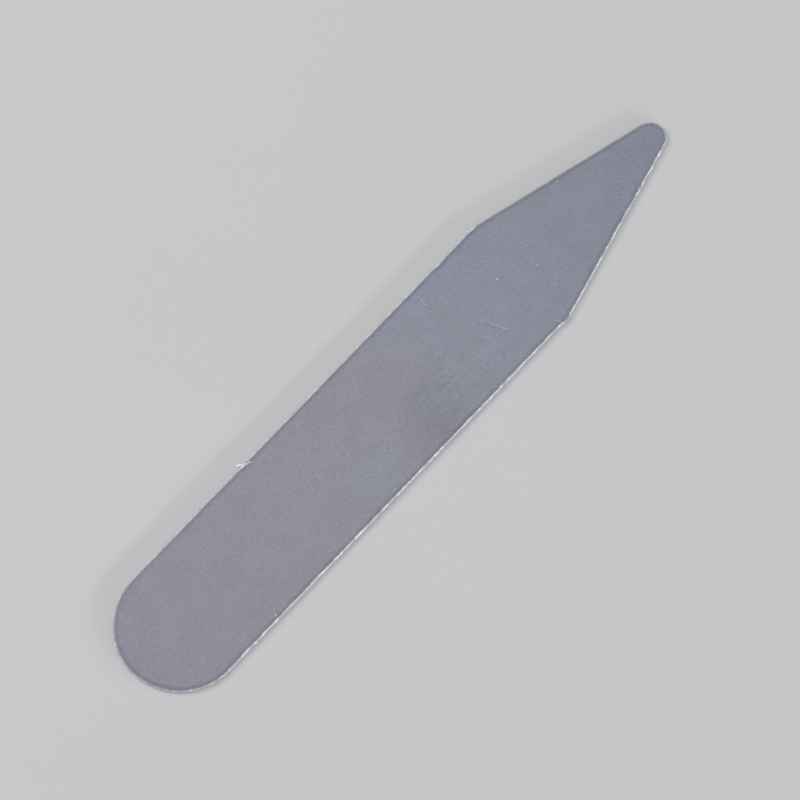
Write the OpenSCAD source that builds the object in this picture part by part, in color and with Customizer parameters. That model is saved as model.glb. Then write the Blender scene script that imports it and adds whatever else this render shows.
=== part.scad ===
// A collar stay: a slip of clear plastic sheet, stamped out with one round end and one long point.
// X runs along the stay towards its tip, Y across it and Z up through the sheet.
// The stay lies on the plane z = 0, with the origin under the middle of its box.

/* [Outline] */
// Length from the round end to the tip
stay_length = 63.5; // [50:0.5:90]
// Width between the two long edges
stay_width = 11.1; // [8:0.1:16]
// Length of the point, from its shoulders to the tip
point_length = 17.3; // [12:0.1:24]
// Radius that rounds the tip
tip_r = 1.4; // [0.8:0.1:2.5]

/* [Sheet] */
// Thickness of the plastic sheet
sheet_t = 0.5; // [0.3:0.05:1]
// Radius of the upper edge, which the die rolls over as it cuts
roll_r = 0.15; // [0.05:0.01:0.2]
// Width and height of the bevel along the lower edge, where the cut breaks out
break_w = 0.05; // [0.02:0.01:0.08]

/* [Hidden] */
// Sides that a whole circle is drawn with
$fn = 96;
// How far a trimming shape reaches past the surface that it trims
overcut = 0.02;
half_w = stay_width / 2;
// Where along X the centres of the round end and of the tip's arc lie
round_x = half_w - stay_length / 2;
tip_x = stay_length / 2 - tip_r;
// From the tip's centre back and out to a shoulder, where a side of the point meets a long edge
to_shoulder = [point_length - tip_r, half_w];
// Angle between the stay's axis and a side of the point, which is tangent to the tip's arc
taper_a = atan2(to_shoulder.y, to_shoulder.x) - asin(tip_r / norm(to_shoulder));

// What rolling the edge takes off a square corner at the origin, with the sheet at -x and -y
module roll_waste() {
    translate([-roll_r, -roll_r])
        difference() {
            square(roll_r + overcut);
            circle(roll_r);
        }
}

// Section through the edge of the sheet, from x = 0 to the outline at x = depth
module edge_section(depth) {
    difference() {
        polygon([
            [0, 0],
            [depth - break_w, 0],
            [depth, break_w],
            [depth, sheet_t],
            [0, sheet_t]
        ]);
        translate([depth, sheet_t])
            roll_waste();
    }
}

// A straight band of sheet from x = -run to x = 0, with its cut edge at y = depth
module straight_edge(run, depth) {
    translate([-run, 0, 0])
        rotate([90, 0, 90])
            linear_extrude(run)
                edge_section(depth);
}

// A pie of sheet about the z axis, from the +x axis round by turn, with its cut edge outside
module round_edge(r, turn) {
    rotate_extrude(angle = turn)
        edge_section(r);
}

// The stay before it is pointed: its round end and two long edges, which run on past the tip
module strip() {
    translate([round_x, 0, 0]) {
        rotate([0, 0, 90])
            round_edge(half_w, 180);
        for (side = [0, 1])
            mirror([0, side, 0])
                translate([stay_length, 0, 0])
                    straight_edge(stay_length, half_w);
    }
}

// One side of the point and its half of the tip, about the tip's centre
module point_side() {
    rotate([0, 0, -taper_a])
        straight_edge(stay_length, tip_r);
    difference() {
        round_edge(tip_r, 90);
        rotate([0, 0, -taper_a])
            translate([-tip_r, -overcut, -overcut])
                cube([tip_r, tip_r + 2 * overcut, sheet_t + 2 * overcut]);
    }
}

// The middle of the wedge, about the tip's centre, which laps into its tip and both its sides
module point_web() {
    lap = tip_r / 2;
    front = lap / 2;
    back = -stay_length;
    half_h = function (x) lap / cos(taper_a) - x * tan(taper_a);
    linear_extrude(sheet_t)
        polygon([
            [front, half_h(front)],
            [back, half_h(back)],
            [back, -half_h(back)],
            [front, -half_h(front)]
        ]);
}

// A wedge of sheet with the point's sides and tip, wider than the strip behind the shoulders
module wedge() {
    translate([tip_x, 0, 0]) {
        point_web();
        for (side = [0, 1])
            mirror([0, side, 0])
                point_side();
    }
}

module stay() {
    color([0.62, 0.64, 0.7, 0.55])
        intersection() {
            strip();
            wedge();
        }
}

stay();
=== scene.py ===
"""A collar stay, a slip of clear satin plastic, lying on a pale studio floor."""
import math
from collections import namedtuple

import bpy
import numpy as np
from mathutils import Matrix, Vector


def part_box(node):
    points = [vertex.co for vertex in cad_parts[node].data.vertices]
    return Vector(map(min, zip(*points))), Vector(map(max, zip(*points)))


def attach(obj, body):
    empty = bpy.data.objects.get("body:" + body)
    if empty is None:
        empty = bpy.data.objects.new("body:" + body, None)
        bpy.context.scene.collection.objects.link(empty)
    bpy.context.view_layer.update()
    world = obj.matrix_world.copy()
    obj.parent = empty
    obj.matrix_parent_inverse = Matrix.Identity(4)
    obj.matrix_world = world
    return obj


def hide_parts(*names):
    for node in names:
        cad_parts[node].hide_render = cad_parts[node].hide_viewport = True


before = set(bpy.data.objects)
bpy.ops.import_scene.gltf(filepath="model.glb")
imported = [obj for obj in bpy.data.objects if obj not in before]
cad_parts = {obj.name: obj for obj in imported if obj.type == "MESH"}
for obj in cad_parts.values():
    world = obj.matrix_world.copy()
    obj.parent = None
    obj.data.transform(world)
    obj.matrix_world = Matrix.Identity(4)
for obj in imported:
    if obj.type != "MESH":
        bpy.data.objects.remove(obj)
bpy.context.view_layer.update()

# Sizes and places on the stay are in millimetres
MM = 0.001

# The stay's box comes from the frame, and its other sizes are the solid's
STAY_LOW, STAY_HIGH = (np.array(corner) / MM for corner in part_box("stay"))
LENGTH, WIDTH, THICKNESS = (STAY_HIGH - STAY_LOW).tolist()
HALF_WIDTH = WIDTH / 2
POINT_LENGTH = 17.3
TIP_RADIUS = 1.4
BEVEL = 0.05

# The real outline lies this far inside the solid's, all round
OUTLINE_INSET = 0.05

# The die draws the upper face down as it cuts, over this width and depth
ROLL_WIDTH = 0.40
ROLL_DEPTH = 0.15
ROLL_STEPS = 10

# How far apart the outline's points are, how many go round a shoulder, and how many rows of faces cross
# the flat sides
SPACING = 0.08
SHOULDER_STEPS = 12
ROWS = 10

# A mark along a side's edge. A nick or a burr stands out by its height, and a gap darkens the line inside
# the edge by it, which is painted shade.
Mark = namedtuple("Mark", "x height width")

# A stretch of a side, which the one before turns into over a blend on each side of its start: how white
# the plastic is along its edge, partly whitened by the die and partly painted glow of light from the cut
# edge, how broad this white band is and by how much that varies, how dark the line inside the edge is,
# and how dark the edge itself, both of them painted shade
Stretch = namedtuple("Stretch", "start blend white broad chips line rim")

# A side of the stay: +y or -y, its shoulder's radius, how torn its break is and how ragged its point, how
# far its shoulder's step stands out, its nicks, its break's burrs, its gaps, its stretches, and the seed
# of its random draws
Side = namedtuple("Side", "mirror shoulder_radius torn ragged_point step nicks burrs gaps stretches seed")

UPPER_SIDE = Side(
    mirror=1,
    shoulder_radius=4.3,
    torn=0.5,
    ragged_point=0.006,
    step=0.0,
    nicks=[
        Mark(x=-13.0, height=0.03, width=0.30),
        Mark(x=6.9, height=-0.03, width=0.20),
        Mark(x=9.4, height=0.03, width=0.12),
        Mark(x=10.3, height=-0.07, width=0.50),
        Mark(x=11.15, height=0.05, width=0.09),
        Mark(x=12.4, height=-0.02, width=0.40),
        Mark(x=13.9, height=0.03, width=0.15),
    ],
    burrs=[
        Mark(x=-12.5, height=0.06, width=0.12),
        Mark(x=8.6, height=0.03, width=0.15),
    ],
    gaps=[
        Mark(x=6.75, height=0.8, width=0.25),
        Mark(x=8.1, height=1.2, width=0.35),
        Mark(x=10.4, height=1.6, width=0.55),
        Mark(x=12.6, height=0.5, width=0.5),
        Mark(x=14.2, height=0.8, width=0.25),
    ],
    stretches=[
        Stretch(start=-40, blend=0.1, white=0.8, broad=0.13, chips=0.01, line=0.7, rim=0.0),
        Stretch(start=-25, blend=2.0, white=0.85, broad=0.17, chips=0.02, line=1.0, rim=0.0),
        Stretch(start=13.9, blend=0.15, white=1.3, broad=0.19, chips=0.02, line=1.0, rim=0.0),
        Stretch(start=14.8, blend=0.15, white=0.0, broad=0.13, chips=0.0, line=0.0, rim=1.2),
        Stretch(start=30.75, blend=0.25, white=0.9, broad=0.12, chips=0.02, line=0.2, rim=0.0),
    ],
    seed=11,
)
LOWER_SIDE = Side(
    mirror=-1,
    shoulder_radius=0.8,
    torn=1.6,
    ragged_point=0.016,
    step=0.06,
    nicks=[
        Mark(x=9.9, height=0.02, width=0.25),
        Mark(x=28.5, height=0.03, width=0.25),
        Mark(x=29.9, height=0.04, width=0.30),
        Mark(x=30.6, height=-0.03, width=0.15),
        Mark(x=31.0, height=0.02, width=0.12),
    ],
    burrs=[
        Mark(x=4.8, height=0.05, width=0.12),
        Mark(x=6.57, height=0.14, width=0.13),
        Mark(x=7.4, height=0.06, width=0.15),
        Mark(x=8.3, height=0.08, width=0.12),
        Mark(x=27.25, height=0.16, width=0.13),
    ],
    gaps=[
        Mark(x=13.4, height=0.6, width=0.3),
    ],
    stretches=[
        Stretch(start=-40, blend=0.1, white=0.8, broad=0.13, chips=0.01, line=0.5, rim=0.0),
        Stretch(start=-25, blend=2.0, white=1.0, broad=0.16, chips=0.05, line=0.5, rim=0.0),
        Stretch(start=13.75, blend=0.2, white=0.3, broad=0.12, chips=0.0, line=0.5, rim=0.0),
        Stretch(start=14.5, blend=0.25, white=1.0, broad=0.15, chips=0.04, line=0.5, rim=0.0),
        Stretch(start=25.5, blend=0.5, white=1.0, broad=0.16, chips=0.07, line=0.5, rim=0.0),
        Stretch(start=30.9, blend=0.4, white=0.9, broad=0.12, chips=0.03, line=0.2, rim=0.0),
    ],
    seed=31,
)

# A side's step stands out between these two places, and rises and falls over these lengths
STEP_START, STEP_END = 13.6, 14.5
STEP_RISE, STEP_FALL = 0.10, 0.15
# The point starts to be ragged at the first of these places, and is fully so at the second
RAGGED_START, RAGGED_FULL = 15, 17
# The sides meet at the round end's middle and at the tip's, and this near them their unevenness dies out
MEETING_FADE = 0.5

# A random unevenness along an edge: its height, or 1 where the side says how high it is, its wavelength,
# and which of the side's random draws it takes
Uneven = namedtuple("Uneven", "height wavelength draw")
OUTLINE_UNEVEN = [
    Uneven(height=0.006, wavelength=2.1, draw=0),
    Uneven(height=0.004, wavelength=0.6, draw=1),
]
POINT_UNEVEN = [Uneven(height=1, wavelength=0.9, draw=2)]
BREAK_UNEVEN = [
    Uneven(height=0.020, wavelength=0.17, draw=3),
    Uneven(height=0.014, wavelength=0.4, draw=4),
]
CHIPS_UNEVEN = [Uneven(height=1, wavelength=0.3, draw=5)]
WHITE_UNEVEN = Uneven(height=0.25, wavelength=0.22, draw=6)
LINE_UNEVEN = Uneven(height=0.25, wavelength=0.7, draw=7)

# An edge at each of its points: place and outward normal, how far the outline and the torn break stand
# out, how broad and how white the white band is, partly painted glow, and how dark the line and the rim
# are, in painted shade
Edge = namedtuple("Edge", "points normals outline tear broad white line rim")

# A ring of points round the stay: its height and its inset from the outline, how much it takes of the
# torn break, how white it is, partly whitened and partly painted glow, the least share of that white on
# any stretch, and how much it takes of the painted shade of the dark line and of the dark rim
Ring = namedtuple("Ring", "height inset torn white least line rim")

# The lowest ring lies this far inside the bevel
LOWEST_INSET = 0.08
# Rings up the cut edge, from the lower face to where the upper roll starts
WALL_RINGS = [
    Ring(height=0.0, inset=BEVEL + LOWEST_INSET, torn=0.0, white=0.0, least=0.4, line=0.0, rim=0.0),
    Ring(height=0.0, inset=BEVEL, torn=0.4, white=0.45, least=0.4, line=0.0, rim=0.0),
    Ring(height=0.02, inset=0.03, torn=0.8, white=0.8, least=0.4, line=0.0, rim=0.2),
    Ring(height=0.05, inset=0.0, torn=1.0, white=0.8, least=0.4, line=0.0, rim=0.2),
    Ring(height=0.09, inset=0.0, torn=1.0, white=0.75, least=0.4, line=0.0, rim=0.2),
    Ring(height=0.14, inset=0.0, torn=0.8, white=0.7, least=0.4, line=0.0, rim=0.2),
    Ring(height=0.19, inset=0.0, torn=0.5, white=0.65, least=0.4, line=0.0, rim=0.2),
    Ring(height=0.25, inset=0.0, torn=0.2, white=0.65, least=0.3, line=0.0, rim=0.4),
    Ring(height=THICKNESS - ROLL_DEPTH, inset=0.0, torn=0.1, white=0.8, least=0.1, line=0.0, rim=0.8),
]
# Insets of the flat rings inside the roll
FLAT_INSETS = [0.44, 0.48, 0.60]
# This share of the white band's breadth is fully white, round this inset lies the dark line of painted
# shade, and this far in the painted shade of the dark rim has faded away
WHITE_FULL = 0.45
LINE_MIDDLE, LINE_REACH = 0.36, 0.09
RIM_REACH = 0.42

# Slivers that the die left on the +y edge: a ridge along its roll, and a whisker that hangs on it.
# Each has points along it, its radius, and how white it is.
Sliver = namedtuple("Sliver", "path radius white")
SLIVERS = [
    Sliver(
        path=[(-12.38, 5.16, 0.43), (-12.60, 5.27, 0.42), (-13.05, 5.36, 0.41), (-13.42, 5.32, 0.41)],
        radius=0.09,
        white=2.0,
    ),
    Sliver(
        path=[(-13.05, 5.36, 0.38), (-13.12, 5.56, 0.36), (-13.28, 5.70, 0.36), (-13.50, 5.78, 0.36)],
        radius=0.12,
        white=2.0,
    ),
]
SLIVER_SIDES = 10
SLIVER_RINGS = 24
# How often a sliver's corners are smoothed
SLIVER_SMOOTHINGS = 3
# By what share of its radius a sliver swells, how fast that comes and goes from ring to ring, in radians,
# and how much of its section is left at its very ends
SLIVER_SWELL, SLIVER_BEAT, SLIVER_END = 0.2, 1.3, 0.15

# Scratches on the upper face: both ends, width, and how white each one is
Scratch = namedtuple("Scratch", "start end width white")
SCRATCHES = [
    Scratch(start=(9.23, -0.36), end=(10.14, -2.60), width=0.045, white=0.36),
    Scratch(start=(7.20, 4.94), end=(7.04, 3.80), width=0.06, white=0.27),
    Scratch(start=(-10.29, 3.49), end=(-10.65, -1.11), width=0.035, white=0.2),
    Scratch(start=(13.45, -4.92), end=(13.58, -5.35), width=0.05, white=0.4),
]
# This many widths from its line a scratch has faded away
SCRATCH_REACH = 1.5

# A round spot on the upper face: its place, its radius, and how strong it is
Spot = namedtuple("Spot", "place radius strength")
# Specks of dust and pits, which are white and start to fade at this share of their radius
SPECK_CORE = 0.5
SPECKS = [
    Spot(place=(12.70, 0.99), radius=0.08, strength=0.9),
    Spot(place=(15.83, -0.62), radius=0.09, strength=0.55),
    Spot(place=(16.42, 1.21), radius=0.09, strength=0.4),
    Spot(place=(8.51, -0.17), radius=0.09, strength=0.35),
    Spot(place=(15.75, -2.78), radius=0.10, strength=0.25),
    Spot(place=(12.29, -3.37), radius=0.13, strength=0.2),
    Spot(place=(9.35, -4.61), radius=0.10, strength=0.25),
    Spot(place=(22.27, 3.08), radius=0.09, strength=0.5),
    Spot(place=(29.02, 0.91), radius=0.08, strength=0.3),
    Spot(place=(28.20, -0.77), radius=0.08, strength=0.35),
    Spot(place=(18.42, 3.37), radius=0.09, strength=0.35),
    Spot(place=(7.04, 3.80), radius=0.09, strength=0.4),
    Spot(place=(2.40, 0.99), radius=0.08, strength=0.25),
    Spot(place=(-6.06, -5.04), radius=0.12, strength=0.4),
    Spot(place=(-11.39, -3.54), radius=0.10, strength=0.35),
    Spot(place=(-14.33, -2.84), radius=0.10, strength=0.4),
    Spot(place=(-20.32, -5.10), radius=0.12, strength=0.5),
]
# A bluish patch in the plastic's purplish part, and a dim patch that is a painted reflection of something
# dark
BLUE_PATCH = Spot(place=(-6.0, -2.8), radius=4.2, strength=0.9)
DARK_REFLECTION_PATCH = Spot(place=(0.4, -3.6), radius=5.0, strength=0.32)

# Fine parallel brush marks on the upper face: their middle, how far they reach, their angle to the stay in
# degrees, and their length and spacing
Brushing = namedtuple("Brushing", "centre reach angle length spacing")
BRUSHINGS = [
    Brushing(centre=(3.2, -1.8), reach=5.0, angle=0, length=3.5, spacing=0.27),
    Brushing(centre=(7.0, -2.8), reach=3.2, angle=-78, length=2.5, spacing=0.27),
]

# A noise texture: how many of its lumps go to a millimetre, or to a brush mark, and how fine they are
Noise = namedtuple("Noise", "scale detail roughness", defaults=[0.5])
CLOUDS = Noise(scale=0.45, detail=3)
GRAIN = Noise(scale=4.2, detail=1)
RIM_GRAIN = Noise(scale=2.2, detail=3, roughness=0.7)
WANDER = Noise(scale=0.2, detail=2)
BRUSH_LINES = Noise(scale=1.0, detail=2)
FLOOR_MOTTLE = Noise(scale=0.02, detail=4)
# The value that a noise texture wanders about
NOISE_MIDDLE = 0.5
# How many cells of the dust's texture go to a millimetre, each with one speck in it
DUST_SCALE = 0.55

# A smooth way from low, up to the start, to high, from the end on
Ramp = namedtuple("Ramp", "start end low high")
# How bluish the plastic is along the stay, and by how many millimetres a noise moves that
BLUE_ALONG = Ramp(start=-1.0, end=5.0, low=0.0, high=1.0)
BLUE_WANDER = Ramp(start=0.2, end=0.8, low=-3.0, high=3.0)
# How much the clouds and the grain darken the plastic
CLOUD_SHADE = Ramp(start=0.3, end=0.7, low=0.0, high=0.12)
GRAIN_SHADE = Ramp(start=0.3, end=0.7, low=0.0, high=0.30)
# How much of the edge's white and painted glow the rim's grain leaves, and how rough the grain makes the
# plastic
RIM_WHITE = Ramp(start=0.3, end=0.6, low=0.5, high=1.0)
GRAIN_ROUGHNESS = Ramp(start=0.2, end=0.8, low=0.24, high=0.28)
# How much light one side of the sheet holds back, from where it is clear to where marks, whitening and
# painted glow make it white
HAZE = Ramp(start=0.0, end=1.0, low=0.45, high=0.90)
# How strong a speck of dust is by the distance from its middle, in cells, and by chance
DUST_DISC = Ramp(start=0.015, end=0.04, low=1.0, high=0.0)
DUST_CHANCE = Ramp(start=0.55, end=1.0, low=0.0, high=0.5)

# The plastic's colours: its bluish and its purplish part, its edge, white from whitening and painted glow,
# its scratches and specks, and what darkens it, with painted shade and a painted reflection among the rest
CLEAR_BLUE = (0.260, 0.278, 0.390)
CLEAR_PURPLE = (0.269, 0.263, 0.366)
WHITE_AND_GLOW_COLOUR = (0.95, 0.95, 0.96)
SCUFFED = (0.86, 0.90, 1.00)
DARKENED = (0.07, 0.075, 0.10)
# How much the dark line and the dark rim darken it, as painted shade
PAINTED_EDGE_SHADE = 0.4
# How much rougher the brush marks and the white places are
BRUSH_ROUGHNESS, WHITE_ROUGHNESS = 0.12, 0.15
# How high the grain, the brush marks, the scratches and specks, and the white edge stand in the bumps
GRAIN_RELIEF, BRUSH_RELIEF, MARK_RELIEF, WHITE_RELIEF = 0.04, 0.12, -0.8, 1.5
BUMP_STRENGTH, BUMP_DISTANCE = 0.5, 0.02
# The plastic's index of refraction, and the strength of its shine
PLASTIC_IOR, PLASTIC_SHINE = 1.5, 1.0

# Air under the sheet
FLOOR_GAP = 0.02

# From here on, sizes and places are in metres, and angles in degrees
FLOOR_SIZE = 8.0
FLOOR_TONES = (0.575, 0.575, 0.58), (0.605, 0.605, 0.605)
FLOOR_ROUGHNESS = 0.7

# Softboxes that face the stay, with their power in watts and one of two colours, and the sky round them
NEUTRAL, WARM = (1, 1, 1), (1.0, 0.985, 0.96)
Softbox = namedtuple("Softbox", "name azimuth elevation distance size power colour")
SOFTBOXES = [
    Softbox("key", azimuth=200, elevation=48, distance=0.8, size=(0.5, 0.5), power=3.0, colour=WARM),
    Softbox("veil", azimuth=140, elevation=78, distance=0.8, size=(0.2, 0.2), power=0.4, colour=NEUTRAL),
    Softbox("rim", azimuth=8, elevation=12, distance=0.7, size=(0.7, 0.05), power=3.0, colour=NEUTRAL),
]
SKY_COLOUR = (0.95, 0.97, 1.0)
SKY_STRENGTH = 0.48

# The camera stands where the photograph was taken from. Its lens and its sensor are in millimetres.
CAMERA_AZIMUTH = -46.9
CAMERA_ELEVATION = 76
CAMERA_DISTANCE = 0.42
CAMERA_AIM = Vector((-0.0002, -0.0001, 0))
CAMERA_LENS = 230.3
SENSOR_WIDTH = 36
CAMERA_NEAR, CAMERA_FAR = 0.01, 20


def ease(value, start, end):
    """0 below start and 1 above end, with a smooth rise between them."""
    share = np.clip((value - start) / (end - start), 0, 1)
    return share * share * (3 - 2 * share)


def arc(centre, radius, start, end, count):
    """Points and outward normals round an arc, from its start to just before its end."""
    angles = np.linspace(start, end, count, endpoint=False)
    rays = [np.array([math.cos(angle), math.sin(angle)]) for angle in angles]
    return [(centre + radius * ray, ray) for ray in rays]


def straight(start, end, ray, count):
    """Points and outward normals along a line, from its start to just before its end."""
    return [(start + (end - start) * share, ray) for share in np.linspace(0, 1, count, endpoint=False)]


def half_outline(shoulder_radius):
    """Points and outward normals of the side at +y, from the round end's middle to the tip's."""
    quarter = math.pi / 2
    up = np.array([0.0, 1.0])
    round_centre = np.array([HALF_WIDTH - LENGTH / 2, 0])
    tip_centre = np.array([LENGTH / 2 - TIP_RADIUS, 0])
    # The point's side turns in by this angle, and touches the tip's circle
    back, out = POINT_LENGTH - TIP_RADIUS, HALF_WIDTH
    taper = math.atan2(out, back) - math.asin(TIP_RADIUS / math.hypot(back, out))
    along = np.array([math.cos(taper), -math.sin(taper)])
    slant = np.array([math.sin(taper), math.cos(taper)])
    tip_start = tip_centre + TIP_RADIUS * slant
    corner = tip_start - along * (HALF_WIDTH - tip_start[1]) / math.sin(taper)
    reach = shoulder_radius * math.tan(taper / 2)
    shoulder_start = corner - [reach, 0]
    shoulder_centre = shoulder_start - up * shoulder_radius
    # The shoulder's radius isn't in these counts, so both sides have the same number of points
    round_count = round(HALF_WIDTH * quarter / SPACING)
    long_count = round((corner[0] - round_centre[0]) / SPACING)
    point_count = round(np.linalg.norm(tip_start - corner) / SPACING)
    # The tip turns so sharply that its points are twice as close together
    tip_count = round(2 * TIP_RADIUS * (quarter - taper) / SPACING)
    places = [
        *arc(round_centre, HALF_WIDTH, math.pi, quarter, round_count),
        *straight(round_centre + up * HALF_WIDTH, shoulder_start, up, long_count),
        *arc(shoulder_centre, shoulder_radius, quarter, quarter - taper, SHOULDER_STEPS),
        *straight(corner + along * reach, tip_start, slant, point_count),
        *arc(tip_centre, TIP_RADIUS, quarter - taper, 0, tip_count),
        (np.array([LENGTH / 2, 0]), np.array([1.0, 0.0])),
    ]
    points, normals = zip(*places)
    return np.array(points), np.array(normals)


def smooth_noise(distance, wavelength, seed):
    """Smooth random heights between -1 and 1 along a distance, one for each wavelength."""
    values = np.random.default_rng(seed).uniform(-1, 1, int(distance[-1] / wavelength) + 3)
    place = distance / wavelength
    cell = place.astype(int)
    share = ease(place - cell, 0, 1)
    return values[cell] * (1 - share) + values[cell + 1] * share


def unevenness(distance, side, parts):
    """A side's random unevenness along a distance, with all its parts added up."""
    return sum(
        part.height * smooth_noise(distance, part.wavelength, side.seed + part.draw) for part in parts
    )


def patchiness(distance, side, part):
    """A share along a distance that drops at random from 1, by twice the part's height at most."""
    return 1 - part.height + unevenness(distance, side, [part])


def along_stretches(x, side, name):
    """The named value of a side's stretches at each x, eased from one stretch to the next."""
    value = np.full_like(x, getattr(side.stretches[0], name))
    for last, following in zip(side.stretches, side.stretches[1:]):
        share = ease(x, following.start - following.blend, following.start + following.blend)
        value += share * (getattr(following, name) - getattr(last, name))
    return value


def heights_along(x, marks):
    """The marks' heights at each x, added up."""
    return sum(mark.height * np.exp(-(((x - mark.x) / mark.width) ** 2)) for mark in marks)


def outline_height(x, distance, side):
    """How far a side's outline stands out, with its ragged point, its shoulder's step and its nicks."""
    ragged = side.ragged_point * ease(x, RAGGED_START, RAGGED_FULL)
    rise = ease(x, STEP_START - STEP_RISE, STEP_START)
    fall = ease(x, STEP_END, STEP_END + STEP_FALL)
    height = unevenness(distance, side, OUTLINE_UNEVEN)
    height += ragged * unevenness(distance, side, POINT_UNEVEN)
    height += side.step * rise * (1 - fall)
    return height + heights_along(x, side.nicks)


def side_edge(side):
    """One side's edge, from the round end's middle to the tip's."""
    points, normals = half_outline(side.shoulder_radius)
    x = points[:, 0]
    steps = np.linalg.norm(np.diff(points, axis=0), axis=1)
    distance = np.concatenate([[0], np.cumsum(steps)])
    fade = ease(np.minimum(distance, distance[-1] - distance), 0, MEETING_FADE)
    flip = np.array([1, side.mirror])
    tear = side.torn * unevenness(distance, side, BREAK_UNEVEN) + heights_along(x, side.burrs)
    chips = along_stretches(x, side, "chips") * unevenness(distance, side, CHIPS_UNEVEN)
    line = along_stretches(x, side, "line") * patchiness(distance, side, LINE_UNEVEN)
    return Edge(
        points=points * flip,
        normals=normals * flip,
        outline=outline_height(x, distance, side) * fade - OUTLINE_INSET,
        tear=tear * fade,
        broad=along_stretches(x, side, "broad") + chips * fade,
        white=along_stretches(x, side, "white") * patchiness(distance, side, WHITE_UNEVEN),
        line=line + heights_along(x, side.gaps),
        rim=along_stretches(x, side, "rim"),
    )


def upper_ring(height, inset):
    """A ring of the roll or of the upper face, which the torn break doesn't reach."""
    line = 1 - ease(abs(inset - LINE_MIDDLE), 0, LINE_REACH)
    return Ring(height, inset, torn=0.0, white=1.0, least=0.0, line=line, rim=1.0)


def edge_rings():
    """Every ring, from the lower face round the edge to the upper face."""
    rings = list(WALL_RINGS)
    for step in range(1, ROLL_STEPS + 1):
        angle = math.pi / 2 * step / ROLL_STEPS
        height = THICKNESS - ROLL_DEPTH * (1 - math.sin(angle))
        rings.append(upper_ring(height, ROLL_WIDTH * (1 - math.cos(angle))))
    rings += [upper_ring(THICKNESS, inset) for inset in FLAT_INSETS]
    return rings


def add_flat_side(vertices, faces, base, stations, around, faces_up):
    """Rows of faces across the sheet, inside the ring of vertices that starts at base."""
    rows = []
    for i in range(1, stations - 1):
        first, last = base + i, base + around - i
        start, end = np.array(vertices[first]), np.array(vertices[last])
        inner = range(len(vertices), len(vertices) + ROWS - 1)
        vertices.extend(tuple(start + (end - start) * k / ROWS) for k in range(1, ROWS))
        rows.append([first, *inner, last])
    flat = []
    for left, right in zip(rows, rows[1:]):
        flat.extend((left[k], left[k + 1], right[k + 1], right[k]) for k in range(ROWS))
    flat.extend((base, rows[0][k + 1], rows[0][k]) for k in range(ROWS))
    flat.extend((base + stations - 1, rows[-1][k], rows[-1][k + 1]) for k in range(ROWS))
    faces.extend(face if faces_up else face[::-1] for face in flat)


def sheet_mesh():
    """Vertices and faces of the sheet, and how white each vertex is, partly painted glow, and how dark, in
    painted shade.
    """
    upper, lower = side_edge(UPPER_SIDE), side_edge(LOWER_SIDE)
    stations = len(upper.points)
    # The loop runs along +y to the tip and back along -y, with one shared point at each end
    loop = Edge(*(np.concatenate([out, back[-2:0:-1]]) for out, back in zip(upper, lower)))
    around = len(loop.points)
    rings = edge_rings()
    vertices, faces, whites_and_glows, painted_shades = [], [], [], []
    for ring in rings:
        outward = loop.outline + ring.torn * loop.tear - ring.inset
        places = loop.points + loop.normals * outward[:, None]
        vertices.extend((x, y, ring.height) for x, y in places)
        # The white band is partly the die's whitening and partly painted glow, and the dark line and rim
        # are painted shade
        band = ring.white * (1 - ease(ring.inset / loop.broad, WHITE_FULL, 1))
        whites_and_glows.extend(band * (ring.least + (1 - ring.least) * loop.white))
        rim = ring.rim * (1 - ease(ring.inset, 0, RIM_REACH))
        painted_shades.extend(ring.line * loop.line + rim * loop.rim)
    for level in range(len(rings) - 1):
        for j in range(around):
            here, there = level * around + j, level * around + (j + 1) % around
            faces.append((here, here + around, there + around, there))
    add_flat_side(vertices, faces, 0, stations, around, False)
    add_flat_side(vertices, faces, (len(rings) - 1) * around, stations, around, True)
    inner = [0.0] * (len(vertices) - len(whites_and_glows))
    return vertices, faces, whites_and_glows + inner, painted_shades + inner


def sliver_line(path):
    """The places of a sliver's rings along its path, with the path's corners smoothed."""
    knots = np.array(path)
    share = np.linspace(0, len(knots) - 1, SLIVER_RINGS)
    line = np.column_stack([np.interp(share, range(len(knots)), axis) for axis in knots.T])
    for _ in range(SLIVER_SMOOTHINGS):
        line[1:-1] = (line[:-2] + 2 * line[1:-1] + line[2:]) / 4
    return line


def sliver_mesh(sliver):
    """Vertices and faces of a sliver, a thin closed tube that swells unevenly and narrows at its ends."""
    line = sliver_line(sliver.path)
    last = SLIVER_RINGS - 1
    up = np.array([0, 0, 1])
    vertices, faces = [], []
    for i, centre in enumerate(line):
        side = np.cross(up, line[min(i + 1, last)] - line[max(i - 1, 0)])
        side /= np.linalg.norm(side)
        swell = 1 - SLIVER_SWELL + SLIVER_SWELL * math.sin(SLIVER_BEAT * i)
        radius = sliver.radius * swell * math.sqrt(min(1, SLIVER_END + min(i, last - i) / 2))
        for k in range(SLIVER_SIDES):
            angle = 2 * math.pi * k / SLIVER_SIDES
            vertices.append(tuple(centre + radius * (side * math.cos(angle) + up * math.sin(angle))))
    for i in range(last):
        for k in range(SLIVER_SIDES):
            here, there = i * SLIVER_SIDES + k, i * SLIVER_SIDES + (k + 1) % SLIVER_SIDES
            faces.append((here, there, there + SLIVER_SIDES, here + SLIVER_SIDES))
    faces.append(tuple(range(SLIVER_SIDES))[::-1])
    faces.append(tuple(range(last * SLIVER_SIDES, SLIVER_RINGS * SLIVER_SIDES)))
    return vertices, faces


def new_object(name, vertices, faces):
    mesh = bpy.data.meshes.new(name)
    mesh.from_pydata(vertices, [], faces)
    mesh.validate()
    thing = bpy.data.objects.new(name, mesh)
    bpy.context.scene.collection.objects.link(thing)
    return thing


def new_material(name):
    """A node material, its node tree and its principled shader."""
    material = bpy.data.materials.new(name)
    material.use_nodes = True
    tree = material.node_tree
    return material, tree, tree.nodes["Principled BSDF"]


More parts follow.
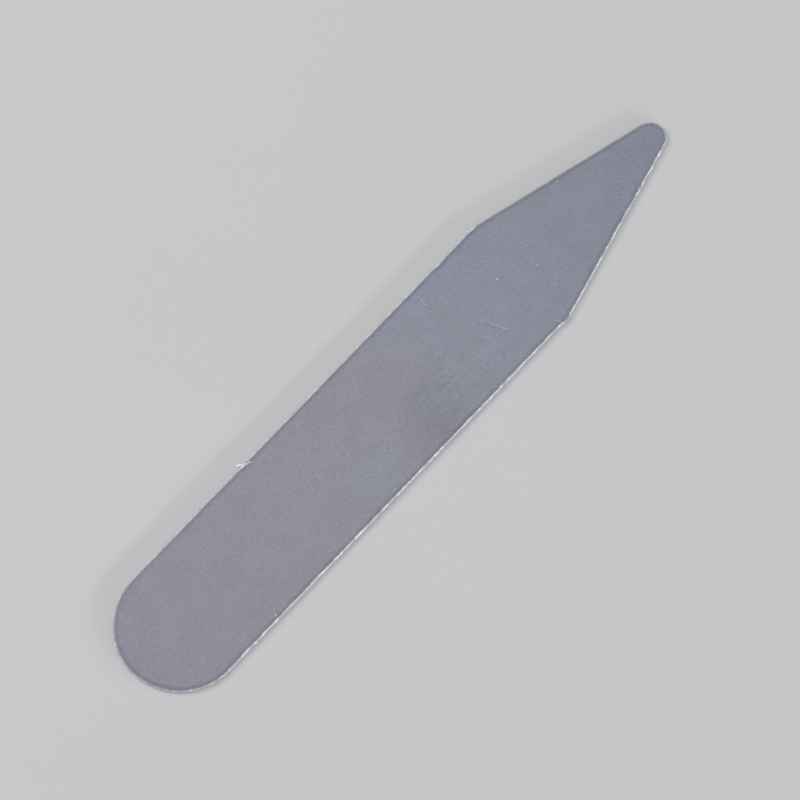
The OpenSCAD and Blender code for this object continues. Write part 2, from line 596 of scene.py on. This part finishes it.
def set_inputs(tree, node, given):
    """Puts numbers, vectors and colours on a node's inputs, and links other nodes' outputs to them."""
    for name, value in given.items():
        socket = node.inputs[name]
        if isinstance(value, bpy.types.NodeSocket):
            tree.links.new(value, socket)
        elif isinstance(value, tuple) and socket.type == "RGBA":
            socket.default_value = (*value, 1)
        else:
            socket.default_value = value


def new_node(tree, kind, given, **settings):
    """A node of this kind, with these settings and what is given for its inputs."""
    node = tree.nodes.new(kind)
    for name, value in settings.items():
        setattr(node, name, value)
    set_inputs(tree, node, given)
    return node


def maths(tree, operation, first, second):
    return new_node(tree, "ShaderNodeMath", {0: first, 1: second}, operation=operation).outputs[0]


def total(tree, operation, values):
    """All the values, joined one after another by the operation."""
    joined = values[0]
    for value in values[1:]:
        joined = maths(tree, operation, joined, value)
    return joined


def vector_maths(tree, operation, first, second):
    node = new_node(tree, "ShaderNodeVectorMath", {0: first, 1: second}, operation=operation)
    return node.outputs["Value" if operation in ("DOT_PRODUCT", "DISTANCE") else "Vector"]


def ramp_value(tree, value, ramp):
    given = {
        "Value": value,
        "From Min": ramp.start,
        "From Max": ramp.end,
        "To Min": ramp.low,
        "To Max": ramp.high,
    }
    node = new_node(tree, "ShaderNodeMapRange", given, interpolation_type="SMOOTHSTEP")
    return node.outputs["Result"]


def mix_colour(tree, share, first, second):
    """The first colour, with this share of the second mixed in."""
    # The mix node's sockets for colours have the same names as its others, so they go by number
    given = {"Factor": share, 6: first, 7: second}
    return new_node(tree, "ShaderNodeMix", given, data_type="RGBA").outputs[2]


def noise_value(tree, place, noise):
    given = {
        "Vector": place,
        "Scale": noise.scale,
        "Detail": noise.detail,
        "Roughness": noise.roughness,
    }
    return new_node(tree, "ShaderNodeTexNoise", given).outputs["Fac"]


def bumps(tree, relief):
    given = {"Height": relief, "Strength": BUMP_STRENGTH, "Distance": BUMP_DISTANCE * MM}
    return new_node(tree, "ShaderNodeBump", given).outputs["Normal"]


def place_mm(tree):
    """The surface's own place, in millimetres."""
    own_place = tree.nodes.new("ShaderNodeTexCoord").outputs["Object"]
    return vector_maths(tree, "MULTIPLY", own_place, (1 / MM, 1 / MM, 1 / MM))


def vertex_value(tree, name):
    return new_node(tree, "ShaderNodeAttribute", {}, attribute_name=name).outputs["Fac"]


def scratch_mask(tree, place, scratch):
    """The scratch's white on its line, which fades to nothing beside it."""
    start = np.array([*scratch.start, THICKNESS])
    line = np.array([*scratch.end, THICKNESS]) - start
    length = float(np.linalg.norm(line))
    along = tuple(line / length)
    from_start = vector_maths(tree, "SUBTRACT", place, tuple(start))
    ahead = vector_maths(tree, "DOT_PRODUCT", from_start, along)
    ahead = maths(tree, "MINIMUM", maths(tree, "MAXIMUM", ahead, 0.0), length)
    nearest = vector_maths(tree, "MULTIPLY", along, ahead)
    away = vector_maths(tree, "DISTANCE", from_start, nearest)
    return ramp_value(tree, away, Ramp(0.0, SCRATCH_REACH * scratch.width, scratch.white, 0.0))


def spot_mask(tree, place, spot, core=0.0):
    """The spot's strength inside this share of its radius, which fades to nothing at the radius."""
    away = vector_maths(tree, "DISTANCE", place, (*spot.place, THICKNESS))
    return ramp_value(tree, away, Ramp(core * spot.radius, spot.radius, spot.strength, 0.0))


def dust_mask(tree, place):
    """Specks of dust at random, most of them faint: those whose cells' middles lie near the surface."""
    cells = new_node(tree, "ShaderNodeTexVoronoi", {"Vector": place, "Scale": DUST_SCALE})
    chance = new_node(tree, "ShaderNodeSeparateColor", {"Color": cells.outputs["Color"]})
    disc = ramp_value(tree, cells.outputs["Distance"], DUST_DISC)
    return maths(tree, "MULTIPLY", disc, ramp_value(tree, chance.outputs["Red"], DUST_CHANCE))


def brushed(tree, place, brushing):
    """The brushing's fine parallel marks, above and below zero, that fade out away from its middle."""
    given = {
        "Vector": place,
        "Rotation": (0, 0, math.radians(brushing.angle)),
        "Scale": (brushing.length, brushing.spacing, 1),
    }
    turned = new_node(tree, "ShaderNodeMapping", given, vector_type="TEXTURE").outputs["Vector"]
    lines = maths(tree, "SUBTRACT", noise_value(tree, turned, BRUSH_LINES), NOISE_MIDDLE)
    fade = spot_mask(tree, place, Spot(brushing.centre, brushing.reach, strength=1.0))
    return maths(tree, "MULTIPLY", lines, fade)


# The textures that the plastic's colour, haze, roughness and bumps are made from
Textures = namedtuple("Textures", "place clouds grain rim_grain brushes white dark marks")


def plastic_textures(tree):
    place = place_mm(tree)
    marks = [scratch_mask(tree, place, scratch) for scratch in SCRATCHES]
    marks += [spot_mask(tree, place, speck, SPECK_CORE) for speck in SPECKS]
    marks.append(dust_mask(tree, place))
    return Textures(
        place=place,
        clouds=noise_value(tree, place, CLOUDS),
        grain=noise_value(tree, place, GRAIN),
        rim_grain=noise_value(tree, place, RIM_GRAIN),
        brushes=total(tree, "ADD", [brushed(tree, place, brushing) for brushing in BRUSHINGS]),
        # The edge's white, partly painted glow, and the painted shade of its dark line and rim
        white=vertex_value(tree, "edge_white_and_glow"),
        dark=vertex_value(tree, "edge_painted_shade"),
        marks=total(tree, "MAXIMUM", marks),
    )


def clear_colour(tree, place):
    """Purplish at the round end and bluish at the tip, with a bluish patch on the way."""
    along = vector_maths(tree, "DOT_PRODUCT", place, (1, 0, 0))
    wander = ramp_value(tree, noise_value(tree, place, WANDER), BLUE_WANDER)
    blue = ramp_value(tree, maths(tree, "ADD", along, wander), BLUE_ALONG)
    blue = maths(tree, "MAXIMUM", blue, spot_mask(tree, place, BLUE_PATCH))
    return mix_colour(tree, blue, CLEAR_PURPLE, CLEAR_BLUE)


def plastic_colour(tree, textures, white_and_glow):
    """The clear colour, darkened with painted shade, a painted reflection and its textures, then marked,
    and then white where the edge is whitened and painted with glow.
    """
    # Painted shade along the edge and a painted dark reflection darken it, together with the clouds, grain
    # and brush marks
    shades = [
        spot_mask(tree, textures.place, DARK_REFLECTION_PATCH),
        ramp_value(tree, textures.clouds, CLOUD_SHADE),
        ramp_value(tree, textures.grain, GRAIN_SHADE),
        textures.brushes,
        maths(tree, "MULTIPLY", textures.dark, PAINTED_EDGE_SHADE),
    ]
    colour = mix_colour(tree, total(tree, "ADD", shades), clear_colour(tree, textures.place), DARKENED)
    colour = mix_colour(tree, textures.marks, colour, SCUFFED)
    return mix_colour(tree, white_and_glow, colour, WHITE_AND_GLOW_COLOUR)


def plastic_roughness(tree, textures, white_marks_and_glow):
    """Rougher in the grain, the brush marks and the white places."""
    parts = [
        ramp_value(tree, textures.grain, GRAIN_ROUGHNESS),
        maths(tree, "MULTIPLY", textures.brushes, BRUSH_ROUGHNESS),
        maths(tree, "MULTIPLY", white_marks_and_glow, WHITE_ROUGHNESS),
    ]
    return total(tree, "ADD", parts)


def plastic_relief(tree, textures):
    """How high the plastic's grain, brush marks, scratches, specks and white edge stand."""
    torn = maths(tree, "MULTIPLY", textures.white, textures.rim_grain)
    parts = [
        maths(tree, "MULTIPLY", textures.grain, GRAIN_RELIEF),
        maths(tree, "MULTIPLY", textures.brushes, BRUSH_RELIEF),
        maths(tree, "MULTIPLY", textures.marks, MARK_RELIEF),
        maths(tree, "MULTIPLY", torn, WHITE_RELIEF),
    ]
    return total(tree, "ADD", parts)


def satin_plastic():
    """Clear plastic with a satin haze, with its scratches and specks, white along its cut edge from
    whitening and painted glow, with painted shade inside the edge and a painted dark reflection.
    """
    material, tree, shader = new_material("satin_plastic")
    textures = plastic_textures(tree)
    # The edge's white, partly the die's whitening and partly painted glow of light from the cut edge
    white_and_glow = maths(tree, "MULTIPLY", textures.white, ramp_value(tree, textures.rim_grain, RIM_WHITE))
    white_marks_and_glow = maths(tree, "MAXIMUM", white_and_glow, textures.marks)
    given = {
        "Base Color": plastic_colour(tree, textures, white_and_glow),
        "Alpha": ramp_value(tree, white_marks_and_glow, HAZE),
        "Roughness": plastic_roughness(tree, textures, white_marks_and_glow),
        "Normal": bumps(tree, plastic_relief(tree, textures)),
        "IOR": PLASTIC_IOR,
        "Specular IOR Level": PLASTIC_SHINE,
    }
    set_inputs(tree, shader, given)
    return material


def floor_paint():
    material, tree, shader = new_material("pale_floor")
    mottle = noise_value(tree, place_mm(tree), FLOOR_MOTTLE)
    colour = mix_colour(tree, mottle, *FLOOR_TONES)
    set_inputs(tree, shader, {"Base Color": colour, "Roughness": FLOOR_ROUGHNESS})
    return material


def add_vertex_values(mesh, name, values):
    attribute = mesh.attributes.new(name, "FLOAT", "POINT")
    attribute.data.foreach_set("value", np.array(values, np.float32))


def make_stay():
    vertices, faces, whites_and_glows, painted_shades = sheet_mesh()
    for sliver in SLIVERS:
        sliver_vertices, sliver_faces = sliver_mesh(sliver)
        faces += [tuple(index + len(vertices) for index in face) for face in sliver_faces]
        vertices += sliver_vertices
        whites_and_glows += [sliver.white] * len(sliver_vertices)
        painted_shades += [0.0] * len(sliver_vertices)
    stay = new_object("stay_sheet", [tuple(MM * v for v in vertex) for vertex in vertices], faces)
    add_vertex_values(stay.data, "edge_white_and_glow", whites_and_glows)
    add_vertex_values(stay.data, "edge_painted_shade", painted_shades)
    stay.data.materials.append(satin_plastic())
    stay.data.shade_smooth()
    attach(stay, "root")
    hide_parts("stay")


def make_floor():
    half = FLOOR_SIZE / 2
    height = -FLOOR_GAP * MM
    corners = [(-half, -half, height), (half, -half, height), (half, half, height), (-half, half, height)]
    floor = new_object("floor", corners, [(0, 1, 2, 3)])
    floor.data.materials.append(floor_paint())


def ray_from(azimuth, elevation):
    """The way from the stay to what stands at this azimuth, counted from -y, and at this elevation."""
    turn, rise = math.radians(azimuth), math.radians(elevation)
    return Vector((math.sin(turn) * math.cos(rise), -math.cos(turn) * math.cos(rise), math.sin(rise)))


def add_softbox(softbox):
    ray = ray_from(softbox.azimuth, softbox.elevation)
    light = bpy.data.lights.new(softbox.name, "AREA")
    light.shape = "RECTANGLE"
    light.size, light.size_y = softbox.size
    light.energy = softbox.power
    light.color = softbox.colour
    lamp = bpy.data.objects.new(softbox.name, light)
    lamp.location = ray * softbox.distance
    lamp.rotation_euler = ray.to_track_quat("Z", "Y").to_euler()
    bpy.context.scene.collection.objects.link(lamp)


def studio_light():
    world = bpy.data.worlds.new("studio")
    world.use_nodes = True
    tree = world.node_tree
    set_inputs(tree, tree.nodes["Background"], {"Color": SKY_COLOUR, "Strength": SKY_STRENGTH})
    bpy.context.scene.world = world
    for softbox in SOFTBOXES:
        add_softbox(softbox)


def photo_camera():
    ray = ray_from(CAMERA_AZIMUTH, CAMERA_ELEVATION)
    camera = bpy.data.objects.new("photo_camera", bpy.data.cameras.new("photo_camera"))
    camera.location = CAMERA_AIM + ray * CAMERA_DISTANCE
    camera.rotation_euler = ray.to_track_quat("Z", "Y").to_euler()
    camera.data.sensor_width = SENSOR_WIDTH
    camera.data.lens = CAMERA_LENS
    camera.data.clip_start, camera.data.clip_end = CAMERA_NEAR, CAMERA_FAR
    bpy.context.scene.collection.objects.link(camera)
    bpy.context.scene.camera = camera


make_stay()
make_floor()
studio_light()
photo_camera()
bpy.context.scene.view_settings.view_transform = "Standard"
